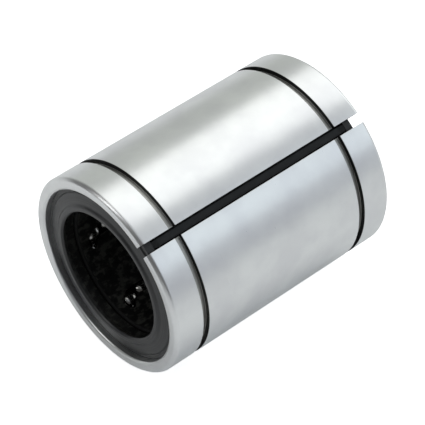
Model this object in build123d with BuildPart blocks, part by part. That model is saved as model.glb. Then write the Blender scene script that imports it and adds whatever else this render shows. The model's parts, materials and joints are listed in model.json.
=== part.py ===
from build123d import *
from math import asin, atan2, cos, degrees, hypot, radians, sin, sqrt
import os

# Linear ball bushing of the adjustable kind, for a 40 mm shaft. A hardened steel cylinder, slit
# along its whole length, holds a moulded retainer with six endless circuits of steel balls. In
# each circuit a row of balls carries the shaft against the cylinder's raceway, turns round at
# the end of the retainer and comes back in a second row that carries nothing. A spring ring
# holds the retainer at each end, and a lip seal closes the end outside it.
#
# Frame: the shaft's axis lies along X, the origin is the middle of the bore, and +Z is up. The
# front end is at -X and the rear end at +X. Angles are measured about X, from +Y towards +Z.

# Sizes are in millimetres and angles in degrees.

# Cylinder
SHAFT_DIA = 40.0
OUTER_DIA = 62.0
LENGTH = 80.0
SNAP_SPAN = 60.6            # over the outer flanks of the two snap ring grooves
SNAP_WIDTH = 2.15
SNAP_FLOOR_DIA = 59.0
SLIT_WIDTH = 3.0
SLIT_ANGLE = 125.6
EDGE_BREAK = 0.15           # along the slit and the snap ring grooves
OUTER_CHAMFER = 1.0
MOUTH_CHAMFER = 0.15
END_BORE_DIA = 54.6         # clears the turning balls and seats the seal
LAND_HALF_LENGTH = 25.0     # half the length of the ground raceway
LAND_LEAD = 0.4             # taper at each end of the raceway
RING_GROOVE_INSET = 4.8     # from the end face to the spring ring's groove
RING_GROOVE_WIDTH = 1.2
RING_GROOVE_DIA = 57.4

# Balls and their circuits
BALL_DIA = 5.556
CIRCUITS = 6
BALLS_PER_ROW = 9
BALL_PITCH = 5.62           # from ball to ball in a row
SHAFT_FIT = 0.002           # radial play between the loaded balls and the shaft
RACEWAY_FIT = 0.010         # radial play between the loaded balls and the cylinder
RETURN_PLAY = 0.17          # radial play of the returning balls in the cylinder's relief
CHANNEL_PLAY = 0.15         # radial play of every ball in the retainer's channel

# Retainer
RETAINER_BORE_DIA = 40.8
RETAINER_DIA = 50.6
RETAINER_LENGTH = 68.0
RETAINER_CHAMFER = 0.5
RIB_WIDTH = 2.0             # key that stands in the cylinder's slit
RIB_DIA = 54.3
RIB_LENGTH = 70.5

# Spring rings
RING_THICKNESS = 1.1
RING_OUTER_DIA = 57.2
RING_INNER_DIA = 48.8
RING_GAP = 4.2
RING_END_ROUND = 0.8

# Seals, with insets measured from the end face
SEAL_DIA = 54.5
SEAL_BACK_INSET = 4.7
SEAL_ROUND = 0.1
RIM_INSET = 2.3             # flat rim in the cylinder's bore
RIM_WIDTH = 1.25
CONE_INSET = 1.9            # cone-shaped face, at its outside
CREASE_INSET = 1.05         # foot of the lip, where the cone ends
CREASE_DIA = 43.8
LIP_INSET = 0.7             # front of the lip
LIP_OUTER_DIA = 42.6
LIP_INNER_DIA = 40.8
TIP_INSET = 1.2             # edge of the lip, which touches the shaft
TIP_WIDTH = 0.25
PLATE_INSET = 3.0           # back of the rubber, where the stiffener lies
SEAL_SKIN = 0.6             # thickness of rubber round the stiffener
CORE_THICKNESS = 0.8
CORE_BORE_DIA = 44.1
CORE_GAP = 0.02             # glue line between the stiffener and the rubber

# Worked out from those
half_length = LENGTH / 2
ball_radius = BALL_DIA / 2
load_radius = SHAFT_DIA / 2 + SHAFT_FIT + ball_radius
land_radius = load_radius + ball_radius + RACEWAY_FIT
channel_radius = ball_radius + CHANNEL_PLAY
row_half_length = BALLS_PER_ROW * BALL_PITCH / 2
# Two balls a quarter turn apart stand this far apart on the turn, a little over their diameter.
turn_chord = BALL_PITCH + 0.01
turn_radius = turn_chord / sqrt(2)
row_spacing = 2 * turn_radius
return_radius = hypot(load_radius, row_spacing)
return_angle = degrees(atan2(row_spacing, load_radius))
# The slit stands midway between one circuit's return channel and the next one's load channel.
return_edge_angle = degrees(atan2(row_spacing + channel_radius, load_radius))
load_edge_angle = degrees(asin(channel_radius / load_radius))
circuit_step = 360 / CIRCUITS
rib_offset_angle = (return_edge_angle + circuit_step - load_edge_angle) / 2
first_circuit_angle = SLIT_ANGLE + rib_offset_angle

os.makedirs("parts", exist_ok=True)


def radial_plane(angle, height=0.0):
    """Plane square to the radius at this angle, with its local X along the shaft."""
    direction = Vector(0, cos(radians(angle)), sin(radians(angle)))
    return Plane(origin=direction * height, x_dir=(1, 0, 0), z_dir=direction)


def at_end(side, points):
    """Points as (distance in from the end face, radius), placed at the front or the rear end."""
    return [(side * (half_length - inset), radius) for inset, radius in points]


def both_ends(points):
    """A closed profile from the points of its rear half, in (x, radius)."""
    return points + [(-x, radius) for x, radius in reversed(points)]


def save(part, label):
    part.label = label
    export_step(part, f"parts/{label}.step")
    print(f"{label}: {len(part.solids())} solids, {part.volume:.1f} mm3")


# ---------------------------------------------------------------- outer cylinder
# Ground tube. Its bore has a raceway in the middle and wider ends, where the balls turn, the
# spring rings snap in and the seals sit.
groove_outer_x = SNAP_SPAN / 2
groove_inner_x = groove_outer_x - SNAP_WIDTH
ring_outer_x = half_length - RING_GROOVE_INSET
ring_inner_x = ring_outer_x - RING_GROOVE_WIDTH
cylinder_profile = both_ends([
    (groove_inner_x - EDGE_BREAK, OUTER_DIA / 2),
    (groove_inner_x, OUTER_DIA / 2 - EDGE_BREAK),
    (groove_inner_x, SNAP_FLOOR_DIA / 2),
    (groove_outer_x, SNAP_FLOOR_DIA / 2),
    (groove_outer_x, OUTER_DIA / 2 - EDGE_BREAK),
    (groove_outer_x + EDGE_BREAK, OUTER_DIA / 2),
    (half_length - OUTER_CHAMFER, OUTER_DIA / 2),
    (half_length, OUTER_DIA / 2 - OUTER_CHAMFER),
    (half_length, END_BORE_DIA / 2 + MOUTH_CHAMFER),
    (half_length - MOUTH_CHAMFER, END_BORE_DIA / 2),
    (ring_outer_x, END_BORE_DIA / 2),
    (ring_outer_x, RING_GROOVE_DIA / 2),
    (ring_inner_x, RING_GROOVE_DIA / 2),
    (ring_inner_x, END_BORE_DIA / 2),
    (LAND_HALF_LENGTH, END_BORE_DIA / 2),
    (LAND_HALF_LENGTH, land_radius + LAND_LEAD),
    (LAND_HALF_LENGTH - LAND_LEAD, land_radius),
])

with BuildPart() as outer_cylinder:
    with BuildSketch(Plane.XY):
        with BuildLine():
            Polyline(*cylinder_profile, close=True)
        make_face()
    revolve(axis=Axis.X)
    # Relief along each return row, so that the returning balls run free of the steel
    with BuildSketch(Plane.YZ.offset(-LAND_HALF_LENGTH)):
        with PolarLocations(return_radius, CIRCUITS, first_circuit_angle - return_angle):
            Circle(ball_radius + RETURN_PLAY)
    extrude(amount=2 * LAND_HALF_LENGTH, mode=Mode.SUBTRACT)
    # Slit through one side, end to end
    with BuildSketch(radial_plane(SLIT_ANGLE)):
        Rectangle(LENGTH + 2, SLIT_WIDTH)
    extrude(amount=OUTER_DIA, mode=Mode.SUBTRACT)
    slit_direction = radial_plane(SLIT_ANGLE).z_dir
    slit_edges = outer_cylinder.edges().filter_by(Axis.X).filter_by(
        lambda edge: edge.center().dot(slit_direction) > OUTER_DIA / 2 - 2 * EDGE_BREAK
    )
    chamfer(slit_edges, length=EDGE_BREAK)
save(outer_cylinder.part, "outer_cylinder")


# ---------------------------------------------------------------- ball retainer
# Moulded sleeve with six endless channels, open outwards. Each channel has a round floor, and
# along the load row this floor breaks through the bore as a slot narrower than a ball.
retainer_profile = both_ends([
    (RETAINER_LENGTH / 2 - RETAINER_CHAMFER, RETAINER_DIA / 2),
    (RETAINER_LENGTH / 2, RETAINER_DIA / 2 - RETAINER_CHAMFER),
    (RETAINER_LENGTH / 2, RETAINER_BORE_DIA / 2 + RETAINER_CHAMFER),
    (RETAINER_LENGTH / 2 - RETAINER_CHAMFER, RETAINER_BORE_DIA / 2),
])
channel_top = OUTER_DIA / 2 - load_radius

with BuildPart() as ball_retainer:
    with BuildSketch(Plane.XY):
        with BuildLine():
            Polyline(*retainer_profile, close=True)
        make_face()
    revolve(axis=Axis.X)
    # Rib that keys the retainer in the slit, so that no ball row ever meets the slit
    rib_root_radius = RETAINER_DIA / 2 - 2 * RETAINER_CHAMFER
    with BuildSketch(radial_plane(SLIT_ANGLE, rib_root_radius)):
        RectangleRounded(RIB_LENGTH, RIB_WIDTH, RETAINER_CHAMFER)
    extrude(amount=RIB_DIA / 2 - rib_root_radius)
    for number in range(CIRCUITS):
        track = radial_plane(first_circuit_angle + number * circuit_step, load_radius)
        with BuildLine(track) as centre_line:
            load_row = Line((-row_half_length, 0), (row_half_length, 0))
            return_row = Line((row_half_length, row_spacing), (-row_half_length, row_spacing))
            turn_tip = row_half_length + turn_radius
            ThreePointArc(load_row @ 1, (turn_tip, turn_radius), return_row @ 0)
            ThreePointArc(return_row @ 1, (-turn_tip, turn_radius), load_row @ 0)
        with BuildSketch(Plane(origin=load_row @ 0, x_dir=track.y_dir, z_dir=track.x_dir)):
            with BuildLine():
                Polyline(
                    (channel_radius, 0),
                    (channel_radius, channel_top),
                    (-channel_radius, channel_top),
                    (-channel_radius, 0),
                )
                ThreePointArc((-channel_radius, 0), (0, -channel_radius), (channel_radius, 0))
            make_face()
        sweep(path=centre_line.wires()[0], mode=Mode.SUBTRACT)
save(ball_retainer.part, "ball_retainer")


# ---------------------------------------------------------------- spring rings
# Flat open rings. The gap stands at the slit, over the retainer's rib.
def spring_ring(end, side):
    ring_middle = side * (ring_outer_x - RING_GROOVE_WIDTH / 2)
    with BuildPart() as ring:
        with BuildSketch(Plane.YZ.offset(ring_middle)) as outline:
            Circle(RING_OUTER_DIA / 2)
            Circle(RING_INNER_DIA / 2, mode=Mode.SUBTRACT)
            with PolarLocations(RING_OUTER_DIA / 2, 1, SLIT_ANGLE):
                Rectangle(RING_OUTER_DIA / 2, RING_GAP, mode=Mode.SUBTRACT)
            fillet(outline.vertices(), radius=RING_END_ROUND)
        extrude(amount=RING_THICKNESS / 2, both=True)
    save(ring.part, f"{end}_retaining_ring")


# ---------------------------------------------------------------- lip seals
# Rubber ring with a flat rim deep in the bore and a cone-shaped face that rises to the lip. The
# lip tapers to an edge that touches the shaft. A pressed steel ring, bonded on behind, keeps the
# rubber round.
core_outer_radius = SEAL_DIA / 2 - SEAL_SKIN - CORE_GAP
core_front = PLATE_INSET + CORE_GAP


def lip_seal(end, side):
    cone_radius = SEAL_DIA / 2 - RIM_WIDTH
    profile = [
        (SEAL_BACK_INSET, SEAL_DIA / 2),
        (RIM_INSET, SEAL_DIA / 2),
        (RIM_INSET, cone_radius),
        (CONE_INSET, cone_radius - (RIM_INSET - CONE_INSET)),
        (CREASE_INSET, CREASE_DIA / 2),
        (LIP_INSET, LIP_OUTER_DIA / 2),
        (LIP_INSET, LIP_INNER_DIA / 2),
        (TIP_INSET, SHAFT_DIA / 2),
        (TIP_INSET + TIP_WIDTH, SHAFT_DIA / 2),
        (PLATE_INSET, CORE_BORE_DIA / 2 - 2 * SEAL_ROUND),
        (PLATE_INSET, SEAL_DIA / 2 - SEAL_SKIN),
        (SEAL_BACK_INSET, SEAL_DIA / 2 - SEAL_SKIN),
    ]
    with BuildPart() as seal:
        with BuildSketch(Plane.XY):
            with BuildLine():
                FilletPolyline(*at_end(side, profile), radius=SEAL_ROUND, close=True)
            make_face()
        revolve(axis=Axis.X)
    save(seal.part, f"{end}_seal")


def seal_stiffener(end, side):
    flange_inner_radius = core_outer_radius - CORE_THICKNESS
    profile = [
        (core_front, core_outer_radius),
        (core_front, CORE_BORE_DIA / 2),
        (core_front + CORE_THICKNESS, CORE_BORE_DIA / 2),
        (core_front + CORE_THICKNESS, flange_inner_radius),
        (SEAL_BACK_INSET, flange_inner_radius),
        (SEAL_BACK_INSET, core_outer_radius),
    ]
    with BuildPart() as stiffener:
        with BuildSketch(Plane.XY):
            with BuildLine():
                FilletPolyline(*at_end(side, profile), radius=SEAL_ROUND, close=True)
            make_face()
        revolve(axis=Axis.X)
    save(stiffener.part, f"{end}_seal_core")


for end, side in (("front", -1), ("rear", 1)):
    spring_ring(end, side)
    lip_seal(end, side)
    seal_stiffener(end, side)


# ---------------------------------------------------------------- ball circuits
# Each circuit is four groups of separate balls: the loaded row, the return row, and the two
# balls in each turn, which stand a quarter turn apart.
def ball_row(label, plane):
    with BuildPart(plane) as row:
        with GridLocations(BALL_PITCH, 0, BALLS_PER_ROW, 1):
            Sphere(ball_radius)
    save(row.part, label)


def turning_balls(label, plane, start_angle):
    with BuildPart(plane) as turn:
        with PolarLocations(turn_radius, 2, start_angle, 180):
            Sphere(ball_radius)
    save(turn.part, label)


def shifted(plane, x, y):
    return Plane(origin=plane.from_local_coords((x, y, 0)), x_dir=plane.x_dir, z_dir=plane.z_dir)


for number in range(CIRCUITS):
    circuit = f"circuit_{number + 1}"
    track = radial_plane(first_circuit_angle + number * circuit_step, load_radius)
    ball_row(f"{circuit}_loaded_row", track)
    ball_row(f"{circuit}_return_row", shifted(track, 0, row_spacing))
    turning_balls(f"{circuit}_front_turn", shifted(track, -row_half_length, turn_radius), 135)
    turning_balls(f"{circuit}_rear_turn", shifted(track, row_half_length, turn_radius), -45)
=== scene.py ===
# %% [markdown]
# # An adjustable linear ball bushing
# This scene dresses a finished mechanical model: a slit steel cylinder that holds a black
# retainer, two rubber seals and six endless circuits of balls. The model arrives as a fixed
# frame of named nodes, each in its place. The scene gives every node its finish, replaces the
# cylinder and the seals by finer pieces, and adds a camera, a floor and lights.

# %% Load the frame
import bmesh
import bpy
import json
from math import cos, hypot, pi, radians, sin, sqrt
from mathutils import Matrix, Vector


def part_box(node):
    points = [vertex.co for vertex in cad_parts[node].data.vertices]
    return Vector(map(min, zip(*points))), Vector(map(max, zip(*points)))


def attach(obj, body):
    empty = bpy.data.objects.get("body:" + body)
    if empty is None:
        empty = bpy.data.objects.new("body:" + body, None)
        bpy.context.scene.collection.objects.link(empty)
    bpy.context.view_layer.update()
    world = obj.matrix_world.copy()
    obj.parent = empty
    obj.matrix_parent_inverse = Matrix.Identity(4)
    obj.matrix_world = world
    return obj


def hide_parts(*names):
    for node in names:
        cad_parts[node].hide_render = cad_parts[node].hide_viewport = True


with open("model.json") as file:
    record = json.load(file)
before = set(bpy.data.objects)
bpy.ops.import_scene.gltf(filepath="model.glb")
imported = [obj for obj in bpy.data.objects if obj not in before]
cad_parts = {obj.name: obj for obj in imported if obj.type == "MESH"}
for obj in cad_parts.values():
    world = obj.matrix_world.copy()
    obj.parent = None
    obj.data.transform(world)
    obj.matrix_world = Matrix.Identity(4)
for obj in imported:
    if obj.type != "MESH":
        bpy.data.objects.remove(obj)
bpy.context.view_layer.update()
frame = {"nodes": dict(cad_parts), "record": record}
nodes = frame["nodes"]
record = frame["record"]

# %% [markdown]
# ## Measures
# The sizes of the new pieces could be typed in, but they would no longer fit once the
# mechanical model changes. So the length is read from the cylinder's own box, and the radii
# from the mounts, which say where the bushing meets its shaft, its housing and its snap rings.

# %% Measure the cylinder
MM = 0.001
mounts = {mount["name"]: mount for mount in record["mounts"]}
cylinder_low, cylinder_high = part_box("outer_cylinder")
half_length = cylinder_high.x
outer_radius = mounts["housing_seat"]["dims"]["r_mm"] * MM
shaft_radius = mounts["shaft_bore"]["dims"]["r_mm"] * MM
groove_radius = mounts["front_snap_groove"]["dims"]["r_mm"] * MM
groove_middle = mounts["rear_snap_groove"]["pos_m"][0]
print("half length", round(half_length, 4), "radii", shaft_radius, outer_radius)

# %% [markdown]
# ## Camera
# A long lens from about ten diameters away keeps the cylinder's sides almost parallel, as a
# catalogue picture does. The camera looks down at the open front end and at the slit. An empty
# that it tracks could aim it too. Here its place is worked out from an azimuth and an elevation
# round the middle of the bore, so that both can be read straight from the code.

# %% Aim
VIEW_AZIMUTH = radians(-40.94)
VIEW_ELEVATION = radians(45.54)
VIEW_DISTANCE = 0.6298
AIM_RIGHT = -0.21 * MM          # aim off the middle of the bore, in the picture's own plane
AIM_UP = -0.6 * MM
LENS = 186.35

to_camera = Vector((
    sin(VIEW_AZIMUTH) * cos(VIEW_ELEVATION),
    -cos(VIEW_AZIMUTH) * cos(VIEW_ELEVATION),
    sin(VIEW_ELEVATION),
))
view_right = Vector((cos(VIEW_AZIMUTH), sin(VIEW_AZIMUTH), 0))
aim = view_right * AIM_RIGHT + to_camera.cross(view_right) * AIM_UP
print("looks from", [round(value, 3) for value in to_camera])

# %% Camera
camera_data = bpy.data.cameras.new("camera")
camera_data.lens = LENS
camera_data.clip_start = 0.01
camera_data.clip_end = 20
camera = bpy.data.objects.new("camera", camera_data)
camera.location = aim + to_camera * VIEW_DISTANCE
camera.rotation_euler = to_camera.to_track_quat("Z", "Y").to_euler()
bpy.context.scene.collection.objects.link(camera)
bpy.context.scene.camera = camera
print("camera at", [round(value, 3) for value in camera.location])

# %% [markdown]
# ## Shader arithmetic
# A material is a graph of nodes, and most of its nodes do arithmetic. They could be added one
# by one, but a formula is easier to read. This class wraps one value on its way through the
# graph, so that a formula written in Python adds the Math nodes for it. Every other node comes
# from its method `node`. The masks `above` and `below` turn a distance into a soft-edged area.

# %% A value in a material
class Wire:
    """One value on its way through a material's nodes."""

    def __init__(self, tree, socket=None):
        self.tree = tree
        self.socket = socket

    def node(self, kind, settings=None, inputs=None, out=0):
        """Any node, with its settings set first, then its inputs; gives one of its outputs."""
        made = self.tree.nodes.new(kind)
        for name, value in (settings or {}).items():
            setattr(made, name, value)
        for name, value in (inputs or {}).items():
            if isinstance(value, Wire):
                self.tree.links.new(value.socket, made.inputs[name])
            else:
                made.inputs[name].default_value = value
        return Wire(self.tree, made.outputs[out])

    def math(self, operation, first, second=0.0):
        return self.node("ShaderNodeMath", {"operation": operation}, {0: first, 1: second})

    def __add__(self, other):
        return self.math("ADD", self, other)

    def __sub__(self, other):
        return self.math("SUBTRACT", self, other)

    def __rsub__(self, other):
        return self.math("SUBTRACT", other, self)

    def __mul__(self, other):
        return self.math("MULTIPLY", self, other)

    __radd__ = __add__
    __rmul__ = __mul__

    def size(self):
        return self.math("ABSOLUTE", self)

    def root(self):
        return self.math("SQRT", self)

    def step(self, low, high):
        """0 below low, 1 above high, smooth between; low above high turns it round."""
        return self.node(
            "ShaderNodeMapRange",
            {"interpolation_type": "SMOOTHSTEP", "clamp": True},
            {"Value": self, "From Min": low, "From Max": high, "To Min": 0.0, "To Max": 1.0},
        )

    def above(self, edge, blur):
        return self.step(edge - blur / 2, edge + blur / 2)

    def below(self, edge, blur):
        return self.step(edge + blur / 2, edge - blur / 2)

    def mix(self, colour_at_0, colour_at_1):
        """A colour between two, by this value."""
        return self.node(
            "ShaderNodeMix",
            {"data_type": "RGBA"},
            {"Factor": self, 6: colour_at_0, 7: colour_at_1},
            out=2,
        )


print("reflected operators:", [name for name in vars(Wire) if name.startswith("__r")])

# %% Start a material, and read a place in it
def start_material(name):
    """A new material with one Principled shader; gives the material, the shader and a wire."""
    material = bpy.data.materials.new(name)
    material.use_nodes = True
    tree = material.node_tree
    return material, tree.nodes["Principled BSDF"], Wire(tree)


def plug(shader, wire, name):
    """Lead a value to an input of the shader."""
    wire.tree.links.new(wire.socket, shader.inputs[name])


def split(vector):
    """The three parts of a vector."""
    source = vector.node("ShaderNodeSeparateXYZ", inputs={0: vector}).socket.node
    return [Wire(vector.tree, source.outputs[index]) for index in range(3)]


def place(wire):
    """Object coordinates, in metres."""
    return wire.node("ShaderNodeTexCoord", out="Object")


def from_shaft(y, z):
    """The distance from the shaft's axis."""
    return (y * y + z * z).root()


def grey(value, tint=(1, 1, 1)):
    """A grey colour, tinted by a factor for each of red, green and blue."""
    return (value * tint[0], value * tint[1], value * tint[2], 1.0)


print("a warm grey:", grey(0.5, (1, 0.98, 0.95)))

# %% Noise and bump
def noise(wire, point, per_metre, stretch=(1, 1, 1), detail=2.0, roughness=0.5):
    """Noise with this many features to the metre, pulled out along one or more axes."""
    moved = wire.node("ShaderNodeMapping", inputs={"Vector": point, "Scale": stretch})
    return wire.node(
        "ShaderNodeTexNoise",
        inputs={"Vector": moved, "Scale": per_metre, "Detail": detail, "Roughness": roughness},
    )


def bump(shader, height, depth):
    """Dents and rises of this depth at the most, in metres."""
    made = height.node("ShaderNodeBump", inputs={"Height": height, "Distance": depth})
    plug(shader, made, "Normal")


print("materials that came with the frame:", len(bpy.data.materials))

# %% [markdown]
# ## Ground bearing steel
# The outside is ground: a wheel leaves very fine lines that run round the cylinder, and the
# surface mirrors the room in soft bands along its length. An anisotropic shader could smear the
# mirror images, but it shows no lines close up. So the lines are noise that changes fast along
# the shaft and hardly at all round it. The snap ring grooves and the slit are cut before
# hardening and keep its black skin, except on the grooves' floors, which are turned bright. The
# black on the grooves' flanks and the slit's walls is also painted shade in these narrow hollows.

# %% Where the steel is black with skin and painted shade
SLIT_ANGLE = radians(125.6)             # from +Y towards +Z
SLIT_HALF_WIDTH = 1.5 * MM
GROOVE_WIDTH = 2.15 * MM
SKIN_START = 0.06 * MM                  # how far below the outside the black begins
SOFT_EDGE = 0.08 * MM


def groove_masks(x, radius):
    """Where the two snap ring grooves are, and their floors."""
    # a little wider than the grooves, so that their flanks get the black skin and painted shade too
    from_groove = (x.size() - groove_middle).size()
    in_groove = from_groove.below(0.58 * GROOVE_WIDTH, 0.08 * GROOVE_WIDTH)
    under_outside = radius.below(outer_radius - SKIN_START, SOFT_EDGE)
    over_bore = radius.above(groove_radius - 0.55 * MM, 0.1 * MM)
    groove_floor = radius.below(groove_radius + 0.08 * MM, SOFT_EDGE)
    return in_groove * under_outside * over_bore, groove_floor


def slit_mask(y, z, radius):
    """Where the slit's walls are, up to just below the outside."""
    across = z * cos(SLIT_ANGLE) - y * sin(SLIT_ANGLE)
    along = y * cos(SLIT_ANGLE) + z * sin(SLIT_ANGLE)
    # a little wider than the slit, so that its walls get the black skin and painted shade too
    near_slit = across.size().below(SLIT_HALF_WIDTH + 0.065 * MM, 0.07 * MM)
    this_side = along.above(0.5 * MM, MM)
    return near_slit * this_side * radius.below(outer_radius - SKIN_START, SOFT_EDGE)


print("slit", 2 * SLIT_HALF_WIDTH, "m wide, grooves", GROOVE_WIDTH)

# %% Steel
BRIGHT_STEEL = grey(0.80, (0.99, 1.005, 1.0))
CLOUDED_STEEL = grey(0.72, (1, 1.01, 1.02))
TURNED_FLOOR = grey(0.40, (1.0, 1.0, 0.95))
# black skin, and painted shade in the narrow hollows, on the grooves' flanks
GROOVE_SKIN = grey(0.03)
# black skin, and painted shade in the narrow slit, on the slit's walls
SLIT_SKIN = grey(0.014)
FACE_RINGS = 1.7        # rings on the end faces for each line on the outside
ROUND_DRIFT = 0.012     # how little a line changes on its way round
GROUND_ROUGHNESS = 0.21


def ground_steel():
    material, shader, wire = start_material("ground_steel")
    point = place(wire)
    x, y, z = split(point)
    radius = from_shaft(y, z)
    lathe = wire.node("ShaderNodeCombineXYZ", inputs={
        0: x + radius * FACE_RINGS, 1: y * ROUND_DRIFT, 2: z * ROUND_DRIFT,
    })
    lines = noise(wire, lathe, per_metre=6000, detail=3)
    streaks = noise(wire, lathe, per_metre=900)
    cloud = noise(wire, point, per_metre=110, detail=4)
    smudge = noise(wire, point, per_metre=420, detail=3)
    groove, groove_floor = groove_masks(x, radius)
    slit = slit_mask(y, z, radius)
    colour = cloud.step(0.3, 0.7).mix(BRIGHT_STEEL, CLOUDED_STEEL)
    # the grooves' flanks and the slit's walls are painted black: their skin and painted shade
    colour = groove.mix(colour, groove_floor.mix(GROOVE_SKIN, TURNED_FLOOR))
    colour = slit.mix(colour, SLIT_SKIN)
    plug(shader, colour, "Base Color")
    grain = lines * 0.08 + streaks * 0.05 + smudge * 0.06
    plug(shader, grain + GROUND_ROUGHNESS + (groove * 0.08 + slit * 0.2), "Roughness")
    shader.inputs["Metallic"].default_value = 1.0
    bump(shader, lines + streaks * 0.6, depth=0.0015 * MM)
    return material


finishes = {"bearing_steel": ground_steel()}
print("steel nodes:", len(finishes["bearing_steel"].node_tree.nodes))

# %% [markdown]
# ## Black resin
# The retainer is moulded in black acetal. Its bore is smeared with grease and dust from the
# shaft, so it looks mottled. Its two ends stay plain and are painted darker, as painted shade deep
# in the bore. A dirt texture painted by hand could show the smears, but noise does it as well, with
# no seams. The rib that fills the slit is painted a little paler on its top, as painted light.

# %% Resin
CLEAN_RESIN = grey(0.004)
SMEARED_RESIN = grey(0.040, (1, 1.02, 0.9))
# painted shade: the retainer's ends, deep in the bore, are painted darker
PLAIN_END = grey(0.006)
# painted light: the top of the rib in the slit is painted paler
WIPED_RIB = grey(0.045, (0.95, 1, 1.02))
RESIN_ROUGHNESS = 0.30
RETAINER_INSET = 6.7 * MM       # from the cylinder's end faces to the retainer's
RIB_RADIUS = 26.8 * MM          # only the rib reaches further out than this
GREASE_DEPTH = 0.12 * MM


def smears(wire, point):
    """The mottled pattern of grease, and its two colours mixed."""
    mottle = noise(wire, point, per_metre=620, stretch=(0.7, 1, 1), detail=3, roughness=0.6)
    return mottle, mottle.step(0.46, 0.62).mix(CLEAN_RESIN, SMEARED_RESIN)


def retainer_resin():
    material, shader, wire = start_material("retainer_resin")
    point = place(wire)
    x, y, z = split(point)
    mottle, colour = smears(wire, point)
    ends = x.size().above(half_length - RETAINER_INSET, 0.2 * MM)
    rib_top = from_shaft(y, z).above(RIB_RADIUS, 0.4 * MM)
    # painted light on the rib's top, painted shade on the retainer's ends
    plug(shader, rib_top.mix(ends.mix(colour, PLAIN_END), WIPED_RIB), "Base Color")
    plug(shader, mottle * 0.3 + ends * 0.25 + RESIN_ROUGHNESS, "Roughness")
    shader.inputs["Specular IOR Level"].default_value = 0.25
    grain = noise(wire, point, per_metre=3000)
    bump(shader, grain * 0.15 + mottle, depth=GREASE_DEPTH)
    return material


finishes["retainer_resin"] = retainer_resin()
print("resin nodes:", len(finishes["retainer_resin"].node_tree.nodes))

# %% [markdown]
# ## Nitrile rubber
# The seals are matt black rubber. Their mould was turned on a lathe, so its faint rings are
# printed on the rubber. A wave texture could draw rings, but evenly spaced ones. So they are
# noise that depends on the radius only. A grey bloom comes to the surface in patches, and
# behind the lip the rubber carries the same smears as the bore.

# %% Rubber
BLACK_RUBBER = grey(0.010)
BLOOM = grey(0.022, (0.97, 0.99, 1.06))
MOULD_RING = grey(0.030, (0.98, 0.99, 1.05))
RUBBER_ROUGHNESS = 0.24
LIP_INSET = 1.4 * MM            # from the cylinder's end face to the back of the lip
SMEARED_RADIUS = 22.2 * MM      # the smears reach this far out from the shaft's axis


def seal_rubber():
    material, shader, wire = start_material("seal_rubber")
    point = place(wire)
    x, y, z = split(point)
    radius = from_shaft(y, z)
    bloom = noise(wire, point, per_metre=250, detail=4)
    by_radius = wire.node("ShaderNodeCombineXYZ", inputs={0: radius})
    rings = noise(wire, by_radius, per_metre=1500)
    behind_lip = x.size().below(half_length - LIP_INSET, 0.4 * MM)
    inside = behind_lip * radius.below(SMEARED_RADIUS, 0.2 * MM)
    mottle, smeared = smears(wire, point)
    colour = bloom.step(0.35, 0.7).mix(BLACK_RUBBER, BLOOM)
    colour = rings.step(0.35, 0.65).mix(colour, MOULD_RING)
    plug(shader, inside.mix(colour, smeared), "Base Color")
    plug(shader, bloom * 0.2 + inside * 0.1 + RUBBER_ROUGHNESS, "Roughness")
    grain = noise(wire, point, per_metre=5000)
    bump(shader, grain * 0.1 + mottle * inside, depth=GREASE_DEPTH)
    return material


finishes["seal_rubber"] = seal_rubber()
print("rubber nodes:", len(finishes["seal_rubber"].node_tree.nodes))

# %% [markdown]
# ## Balls, spring rings and stiffeners
# The balls are polished chromium steel, painted darker overall, as shade that dims their glints in
# the bore, and patchy. The spring rings are phosphated, which leaves fine dark crystals. The seals'
# stiffeners are pressed from sheet that was pickled in acid, so they are grey and patchy. All three
# are one recipe, a metal whose colour and roughness follow a single noise, so one function makes
# them.

# %% Small steel parts
def patchy_metal(name, per_metre, detail, colours, roughness, metallic=1.0, depth=0.0):
    """A metal whose colour, roughness (lowest, spread) and height follow one noise."""
    material, shader, wire = start_material(name)
    patches = noise(wire, place(wire), per_metre, detail=detail)
    plug(shader, patches.step(0.3, 0.7).mix(*colours), "Base Color")
    lowest, spread = roughness
    plug(shader, patches * spread + lowest, "Roughness")
    shader.inputs["Metallic"].default_value = metallic
    if depth:
        bump(shader, patches, depth)
    return material


# painted shade: the balls' colours are darker than polished steel, to dim their glints in the bore
finishes["ball_steel"] = patchy_metal(
    "ball_steel", per_metre=400, detail=2,
    colours=(grey(0.36), grey(0.26, (1, 0.97, 0.90))), roughness=(0.12, 0.10))
finishes["ring_steel"] = patchy_metal(
    "dark_spring_steel", per_metre=8000, detail=3,
    colours=(grey(0.05), grey(0.10, (1, 0.98, 0.95))), roughness=(0.40, 0.20),
    metallic=0.7, depth=0.004 * MM)
finishes["core_steel"] = patchy_metal(
    "pickled_steel", per_metre=600, detail=4,
    colours=(grey(0.42), grey(0.30, (1, 0.98, 0.94))), roughness=(0.32, 0.20),
    depth=0.004 * MM)
print("finishes:", sorted(finishes))

# %% [markdown]
# ## Dress the frame
# Each node has a material slot in the record, so a table of nodes and slots is enough to give
# all of them their finish. Assigning them by hand would go wrong as soon as a node is renamed.

# %% Give every node the finish of its slot
slot_of = {sub["node"]: sub["material_slot"] for sub in record["subparts"]}


def dress(piece, slot):
    piece.data.materials.clear()
    piece.data.materials.append(finishes[slot])


for name, node in nodes.items():
    dress(node, slot_of[name])
print("dressed:", len(nodes), "nodes")

# %% [markdown]
# ## Turned pieces
# The sleeve and the seals are bodies of revolution, so they are modelled as a lathe makes them.
# A circle of edges starts at one corner of the section. Extruding it, moving it along the shaft
# and resizing it carries it to the next corner, until it meets its own start. A screw modifier
# could sweep a drawn section too, but the extrusions show each corner as it is made.

# %% Turn a ring
TURN_STEPS = 240
WELD = 0.0001 * MM


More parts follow.
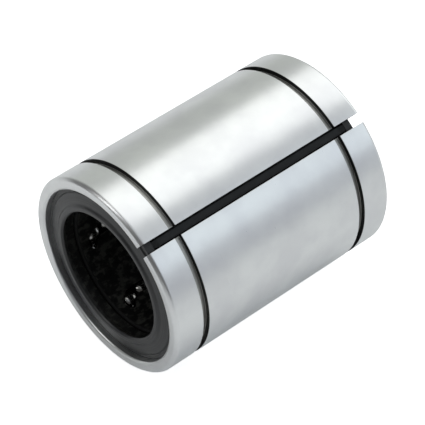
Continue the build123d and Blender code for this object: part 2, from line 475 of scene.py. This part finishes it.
def turned(name, section):
    """A closed ring about the shaft, from the corners of its section as (x, radius)."""
    x, radius = section[0]
    bpy.ops.object.select_all(action="DESELECT")
    bpy.ops.mesh.primitive_circle_add(vertices=TURN_STEPS, radius=radius, rotation=(0, pi / 2, 0))
    piece = bpy.context.object
    piece.name = name
    piece.data.name = name
    bpy.ops.object.transform_apply(rotation=True)
    bpy.ops.object.mode_set(mode="EDIT")
    bpy.ops.mesh.select_all(action="SELECT")
    bpy.ops.transform.translate(value=(x, 0, 0))
    for next_x, next_radius in section[1:] + section[:1]:
        bpy.ops.mesh.extrude_edges_move(TRANSFORM_OT_translate={"value": (next_x - x, 0, 0)})
        growth = next_radius / radius
        bpy.ops.transform.resize(value=(1, growth, growth), center_override=(next_x, 0, 0))
        x, radius = next_x, next_radius
    bpy.ops.mesh.select_all(action="SELECT")
    bpy.ops.mesh.remove_doubles(threshold=WELD)
    bpy.ops.mesh.normals_make_consistent(inside=False)
    bpy.ops.object.mode_set(mode="OBJECT")
    print(name, "turned:", len(piece.data.polygons), "faces")
    return piece


# %% Open a piece, pick in it, and apply a modifier to it
def open_piece(piece):
    """Go into edit mode on this piece alone."""
    bpy.ops.object.select_all(action="DESELECT")
    piece.select_set(True)
    bpy.context.view_layer.objects.active = piece
    bpy.ops.object.mode_set(mode="EDIT")


def pick(piece, kind, test):
    """In edit mode, select only the edges or faces that pass the test."""
    bpy.ops.mesh.select_mode(type={"edges": "EDGE", "faces": "FACE"}[kind])
    bpy.ops.mesh.select_all(action="DESELECT")
    mesh = bmesh.from_edit_mesh(piece.data)
    for item in getattr(mesh, kind):
        if test(item):
            item.select_set(True)
    bmesh.update_edit_mesh(piece.data)


def modify(piece, kind, **settings):
    """Add a modifier with these settings, and apply it."""
    bpy.context.view_layer.objects.active = piece
    modifier = piece.modifiers.new(kind.lower(), kind)
    for name, value in settings.items():
        setattr(modifier, name, value)
    bpy.ops.object.modifier_apply(modifier=modifier.name)


print("still selected from loading:", len(bpy.context.selected_objects), "nodes")

# %% Find an edge by its place
NEAR = 0.02 * MM


def from_axis(point):
    return hypot(point.y, point.z)


def lies_at(edge, x, radius):
    """Whether an edge runs round the shaft at this distance from the middle and this radius."""
    return all(
        abs(abs(corner.co.x) - x) < NEAR and abs(from_axis(corner.co) - radius) < NEAR
        for corner in edge.verts
    )


print("an edge is found within", NEAR, "m")

# %% [markdown]
# ## Rounded corners
# No real edge is sharp: a stone, a tumbler or the mould has rounded it, and the round catches a
# line of light. One bevel of the same width everywhere would be simpler, but some edges here are
# rounder than others. So each sharp edge gets a bevel weight, its share of the largest width,
# and one bevel modifier rounds them all. Weighted normals then keep the broad faces flat.

# %% Round the corners
SHARP = radians(12)             # edges that turn by more than this get rounded
SHADE_ANGLE = radians(35)
ROUND_SEGMENTS = 4


def round_corners(piece, widths):
    """Round the sharp edges. widths pairs each width with a test that says which edges get it."""
    largest = max(width for width, test in widths)
    open_piece(piece)
    for width, test in widths:
        pick(piece, "edges", lambda edge: (
            edge.is_manifold and edge.calc_face_angle() > SHARP and test(edge)
        ))
        bpy.ops.transform.edge_bevelweight(value=width / largest)
    bpy.ops.object.mode_set(mode="OBJECT")
    modify(piece, "BEVEL", limit_method="WEIGHT", width=largest, segments=ROUND_SEGMENTS,
           use_clamp_overlap=False, miter_outer="MITER_ARC")
    bpy.ops.object.shade_smooth_by_angle(angle=SHADE_ANGLE)
    modify(piece, "WEIGHTED_NORMAL", keep_sharp=True)
    print(piece.name, "rounded:", len(piece.data.polygons), "faces")


# %% Put a new piece in the place of a node
def fit(piece, node, slot):
    """Let the new piece stand for a node of the frame, with its finish, on the same body."""
    dress(piece, slot)
    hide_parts(node)
    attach(piece, "bushing_shell")
    print(piece.name, "size", [round(value, 4) for value in piece.dimensions])


# %% [markdown]
# ## Steel sleeve
# The real one is a length of bearing steel tube, turned, slit, hardened and ground. Its section
# has a raceway in the middle of the bore, wide ends for the seals, a groove for each spring ring
# and, outside, two snap ring grooves and a chamfer at each end. The section is drawn for the
# rear half only, and the front half is its mirror image.

# %% Section of the sleeve
CHAMFER = 1.0 * MM
END_BORE = 27.3 * MM                    # radius of the wide ends
MOUTH_WIDTH = 0.75 * MM
MOUTH_DEPTH = 0.5 * MM
RING_GROOVE_RADIUS = 28.7 * MM
LAND_HALF_LENGTH = 25 * MM              # the raceway
LAND_RADIUS = 25.568 * MM
LAND_LEAD = 0.4 * MM
groove_inner = groove_middle - GROOVE_WIDTH / 2
groove_outer = groove_middle + GROOVE_WIDTH / 2
ring_groove_inner = half_length - 6.0 * MM
ring_groove_outer = half_length - 4.8 * MM
rear_half = [
    (groove_inner, outer_radius),
    (groove_inner, groove_radius),
    (groove_outer, groove_radius),
    (groove_outer, outer_radius),
    (half_length - CHAMFER, outer_radius),
    (half_length, outer_radius - CHAMFER),
    (half_length, END_BORE + MOUTH_WIDTH),
    (half_length - MOUTH_DEPTH, END_BORE),
    (ring_groove_outer, END_BORE),
    (ring_groove_outer, RING_GROOVE_RADIUS),
    (ring_groove_inner, RING_GROOVE_RADIUS),
    (ring_groove_inner, END_BORE),
    (LAND_HALF_LENGTH, END_BORE),
    (LAND_HALF_LENGTH, LAND_RADIUS + LAND_LEAD),
    (LAND_HALF_LENGTH - LAND_LEAD, LAND_RADIUS),
]
front_half = [(-x, radius) for x, radius in reversed(rear_half)]
sleeve = turned("steel_sleeve", rear_half + front_half)

# %% Turn its columns so that the slit's walls fall between two of them
bpy.ops.object.select_all(action="DESELECT")
sleeve.select_set(True)
sleeve.rotation_euler.x = SLIT_ANGLE + pi / TURN_STEPS
bpy.ops.object.transform_apply(rotation=True)
print("half a column is", round(pi / TURN_STEPS, 4), "radians")

# %% [markdown]
# ## Reliefs
# Six round reliefs in the raceway let the returning balls run clear of the sleeve. On the real
# one they would be broached. Extruding them from faces of the raceway isn't possible, because
# their edges fall between its columns, so a Boolean modifier cuts them. Each relief takes its
# place from the returning row of its circuit, and its size from the balls.

# %% Reliefs for the returning balls
RELIEF_PLAY = 0.17 * MM
RELIEF_COLUMNS = 64
circuits = sorted(name.removesuffix("_return_row") for name in nodes if "return_row" in name)
for circuit in circuits:
    low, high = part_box(f"{circuit}_return_row")
    ball_low, ball_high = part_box(f"{circuit}_front_turn")
    ball_radius = (ball_high.x - ball_low.x) / 2
    bpy.ops.object.select_all(action="DESELECT")
    bpy.ops.mesh.primitive_cylinder_add(
        vertices=RELIEF_COLUMNS, radius=ball_radius + RELIEF_PLAY,
        depth=2 * (LAND_HALF_LENGTH + MM), location=(low + high) / 2, rotation=(0, pi / 2, 0))
    cutter = bpy.context.object
    modify(sleeve, "BOOLEAN", object=cutter, operation="DIFFERENCE", solver="EXACT")
    bpy.data.objects.remove(cutter)
print("reliefs:", len(circuits), "faces:", len(sleeve.data.polygons))

# %% [markdown]
# ## Slit
# A saw cuts the sleeve open along its whole length, so that a clamp can close it and take up
# play. A Boolean could cut the slit too, with a tool that stops at the axis. Two bisecting
# planes do it with no tool to place: they mark the slit's walls on the faces nearby, the strip
# between them is deleted, and each side is closed with one face.

# %% Cut the slit
SLIT_REACH = 3 * SLIT_HALF_WIDTH        # the planes cut only faces this near the slit's middle
slit_along = Vector((0, cos(SLIT_ANGLE), sin(SLIT_ANGLE)))
slit_across = Vector((0, -sin(SLIT_ANGLE), cos(SLIT_ANGLE)))


def in_slit(face, half_width):
    """Whether a face lies on the slit's side of the axis, this near its middle plane."""
    middle = face.calc_center_median()
    return middle.dot(slit_along) > 0 and abs(middle.dot(slit_across)) < half_width


open_piece(sleeve)
for side in (-1, 1):
    pick(sleeve, "faces", lambda face: in_slit(face, SLIT_REACH))
    bpy.ops.mesh.bisect(plane_co=slit_across * side * SLIT_HALF_WIDTH, plane_no=slit_across)
pick(sleeve, "faces", lambda face: in_slit(face, SLIT_HALF_WIDTH))
bpy.ops.mesh.delete(type="FACE")
for side in (-1, 1):
    pick(sleeve, "edges", lambda edge: (
        edge.is_boundary and side * edge.verts[0].co.dot(slit_across) > 0
    ))
    bpy.ops.mesh.edge_face_add()
bpy.ops.object.mode_set(mode="OBJECT")
print("slit:", len(sleeve.data.polygons), "faces")

# %% [markdown]
# ## Edges of the sleeve
# Grinding and tumbling leave the end chamfers softly rounded, the mouth's chamfer less so, and
# the other edges only just broken. Edges deep in the bore, which nobody sees, stay sharp. The
# edges could be marked by hand, but here tests on their place find them, at both ends at once.

# %% Round its edges
CHAMFER_ROUND = 0.45 * MM
MOUTH_ROUND = 0.25 * MM
EDGE_ROUND = 0.12 * MM


def chamfer_edge(edge):
    return (
        lies_at(edge, half_length, outer_radius - CHAMFER)
        or lies_at(edge, half_length - CHAMFER, outer_radius)
    )


def mouth_edge(edge):
    return (
        lies_at(edge, half_length, END_BORE + MOUTH_WIDTH)
        or lies_at(edge, half_length - MOUTH_DEPTH, END_BORE)
    )


def plain_edge(edge):
    """Any other edge that can be seen, outside or in the wide ends."""
    in_sight = (
        min(from_axis(corner.co) for corner in edge.verts) > END_BORE + MM
        or min(abs(corner.co.x) for corner in edge.verts) > LAND_HALF_LENGTH + MM
    )
    return in_sight and not chamfer_edge(edge) and not mouth_edge(edge)


round_corners(sleeve, [
    (CHAMFER_ROUND, chamfer_edge),
    (MOUTH_ROUND, mouth_edge),
    (EDGE_ROUND, plain_edge),
])
fit(sleeve, "outer_cylinder", "bearing_steel")

# %% [markdown]
# ## Lip seals
# Each seal is moulded in black nitrile rubber over its steel stiffener. A flat rim sits deep in
# the mouth. From a small step the face rises as a cone to the lip, whose round shoulder stands
# nearly level with the end of the sleeve, and which tapers to the edge that wipes the shaft.
# Behind it a thin collar reaches back to the retainer and keeps the grease in. The corners are
# given as (inset from the end face, radius), so both ends share them.

# %% Section of a seal
SEAL_RADIUS = 27.25 * MM
SEAL_BACK = 4.7 * MM
RIM_FACE = 2.3 * MM
RIM_INNER = 26.0 * MM
CONE_FOOT = (1.9 * MM, 25.6 * MM)
CONE_TOP = (1.35 * MM, 22.35 * MM)
SHOULDER = (0.75 * MM, 21.7 * MM)
LIP_FRONT = (0.7 * MM, 20.5 * MM)
TIP_FACE = 1.2 * MM                     # the wiping edge, from here
TIP_BACK = 1.45 * MM                    # to here
CORE_FACE = 3.0 * MM                    # the stiffener lies behind this
COLLAR_END = 5.7 * MM
COLLAR_INNER = 21.3 * MM
COLLAR_OUTER = 22.0 * MM
SKIRT_INNER = 26.65 * MM
seal_section = [
    (SEAL_BACK, SEAL_RADIUS),
    (RIM_FACE, SEAL_RADIUS),
    (RIM_FACE, RIM_INNER),
    CONE_FOOT,
    CONE_TOP,
    SHOULDER,
    LIP_FRONT,
    (TIP_FACE, shaft_radius),
    (TIP_BACK, shaft_radius),
    (CORE_FACE, COLLAR_INNER),
    (COLLAR_END, COLLAR_INNER),
    (COLLAR_END, COLLAR_OUTER),
    (CORE_FACE, COLLAR_OUTER),
    (CORE_FACE, SKIRT_INNER),
    (SEAL_BACK, SKIRT_INNER),
]
print("seal corners:", len(seal_section))

# %% Turn the two seals
SHOULDER_ROUND = 0.3 * MM
MOULD_ROUND = 0.1 * MM


def shoulder_edge(edge):
    return any(lies_at(edge, half_length - inset, radius) for inset, radius in (CONE_TOP, SHOULDER))


def other_edge(edge):
    return not shoulder_edge(edge)


for end, side in (("front", -1), ("rear", 1)):
    corners = [(side * (half_length - inset), radius) for inset, radius in seal_section]
    seal = turned(f"{end}_lip_seal", corners)
    round_corners(seal, [(SHOULDER_ROUND, shoulder_edge), (MOULD_ROUND, other_edge)])
    fit(seal, f"{end}_seal", "seal_rubber")

# %% [markdown]
# ## Floor
# The bushing lies on one wide pale sheet, which reaches far past the view so that the steel
# mirrors it all round. A studio burns its sheet out to white by lighting it more than the
# product. Here the sheet glows for the camera only, with a Light Path node, so that it turns
# white in the picture and stays a pale grey in the steel's mirror images.

# %% Finish of the floor
FLOOR_SHADES = (grey(0.93), grey(0.95))
FLOOR_GLOW = 0.04
FLOOR_BURNOUT = 0.70            # added glow for the camera


def pale_floor():
    material, shader, wire = start_material("pale_floor")
    cloud = noise(wire, place(wire), per_metre=3)
    plug(shader, cloud.mix(*FLOOR_SHADES), "Base Color")
    shader.inputs["Roughness"].default_value = 0.9
    shader.inputs["Specular IOR Level"].default_value = 0.1
    seen = wire.node("ShaderNodeLightPath", out="Is Camera Ray")
    plug(shader, seen.mix(grey(FLOOR_GLOW), grey(FLOOR_GLOW + FLOOR_BURNOUT)), "Emission Color")
    shader.inputs["Emission Strength"].default_value = 1.0
    return material


print("floor glow:", FLOOR_GLOW, "and for the camera", FLOOR_GLOW + FLOOR_BURNOUT)

# %% Lay the floor
FLOOR_SIZE = 6.0
bpy.ops.object.select_all(action="DESELECT")
bpy.ops.mesh.primitive_plane_add(size=FLOOR_SIZE, location=(0, 0, cylinder_low.z))
floor = bpy.context.object
floor.name = "floor"
floor.data.materials.append(pale_floor())
print("floor at", round(floor.location.z, 4))

# %% [markdown]
# ## Lamps
# A polished cylinder mirrors a ring of directions around its axis, so the bands along it are
# pictures of the lamps. Placing lamps by eye takes many renders. Instead each soft box is placed
# by the angle about the shaft at which the steel mirrors it, and leans along the shaft as the
# mirrored directions do. A wide box overhead gives the broad white band, a smaller bluish one in
# front the stripe beside the slit, and a small one beyond the front end a glint in the mouth.

# %% A soft box
BAND_LEAN = 0.459       # share of a mirrored direction that runs along the shaft
MOUTH_LEAN = -0.77
LAMP_DISTANCE = 0.9


def soft_box(name, around, width, length, radiance, tint=(1, 1, 1), lean=BAND_LEAN):
    """A rectangular lamp that faces the bushing. around is in degrees from +Y towards +Z."""
    data = bpy.data.lights.new(name, "AREA")
    data.shape = "RECTANGLE"
    data.size = length
    data.size_y = width
    data.energy = radiance * pi * width * length
    data.color = tint
    side = sqrt(1 - lean * lean)
    angle = radians(around)
    direction = Vector((lean, side * cos(angle), side * sin(angle)))
    across = direction.cross(Vector((1, 0, 0))).normalized()
    facing = Matrix((across.cross(direction), across, direction)).transposed().to_4x4()
    lamp = bpy.data.objects.new(name, data)
    lamp.matrix_world = Matrix.Translation(direction * LAMP_DISTANCE) @ facing
    bpy.context.scene.collection.objects.link(lamp)
    print(name, "at", [round(value, 2) for value in lamp.location])


# %% Three soft boxes
soft_box("overhead_box", around=72, width=0.78, length=2.4, radiance=0.82)
soft_box("front_box", around=140, width=0.44, length=1.6, radiance=0.48, tint=(0.84, 0.95, 1.0))
soft_box("rim_box", around=52, width=0.46, length=0.14, radiance=2.6, lean=MOUTH_LEAN)

# %% [markdown]
# ## Room
# Between the lamps the steel mirrors the room, a mid grey that is faintly bluish on the camera's
# side and greenish on the other. An image of a studio would do this too, but a few shades are
# enough and read nothing from disk. The side that the open end faces is dark, which keeps the
# floor in front of it dim and gives the flat end face its darker tone.

# %% Room
NEAR_WALL = grey(0.56, (0.93, 0.97, 1.04))
FAR_WALL = grey(0.55, (0.96, 1.0, 0.95))
DARK_SIDE = grey(0.13)
WALL_BLEND = 0.8        # one wall passes into the other between minus this and this, along Y
DARK_BLUR = 0.7
DARK_TOP = 0.775        # the dark side ends here, below the overhead lamp
DARK_TOP_BLUR = 0.35

world = bpy.data.worlds.new("studio")
bpy.context.scene.world = world
world.use_nodes = True
sky = Wire(world.node_tree)
toward_x, toward_y, toward_z = split(sky.node("ShaderNodeTexCoord", out="Generated"))
walls = toward_y.step(-WALL_BLEND, WALL_BLEND).mix(NEAR_WALL, FAR_WALL)
dark = toward_x.below(0, DARK_BLUR) * toward_z.below(DARK_TOP, DARK_TOP_BLUR)
plug(world.node_tree.nodes["Background"], dark.mix(walls, DARK_SIDE), "Color")
bpy.context.scene.view_settings.view_transform = "Standard"
print("room nodes:", len(world.node_tree.nodes))

# %% [markdown]
# ## Size
# The finer pieces must fill the same box as the mechanical model, or the bushing would no longer
# fit its housing.
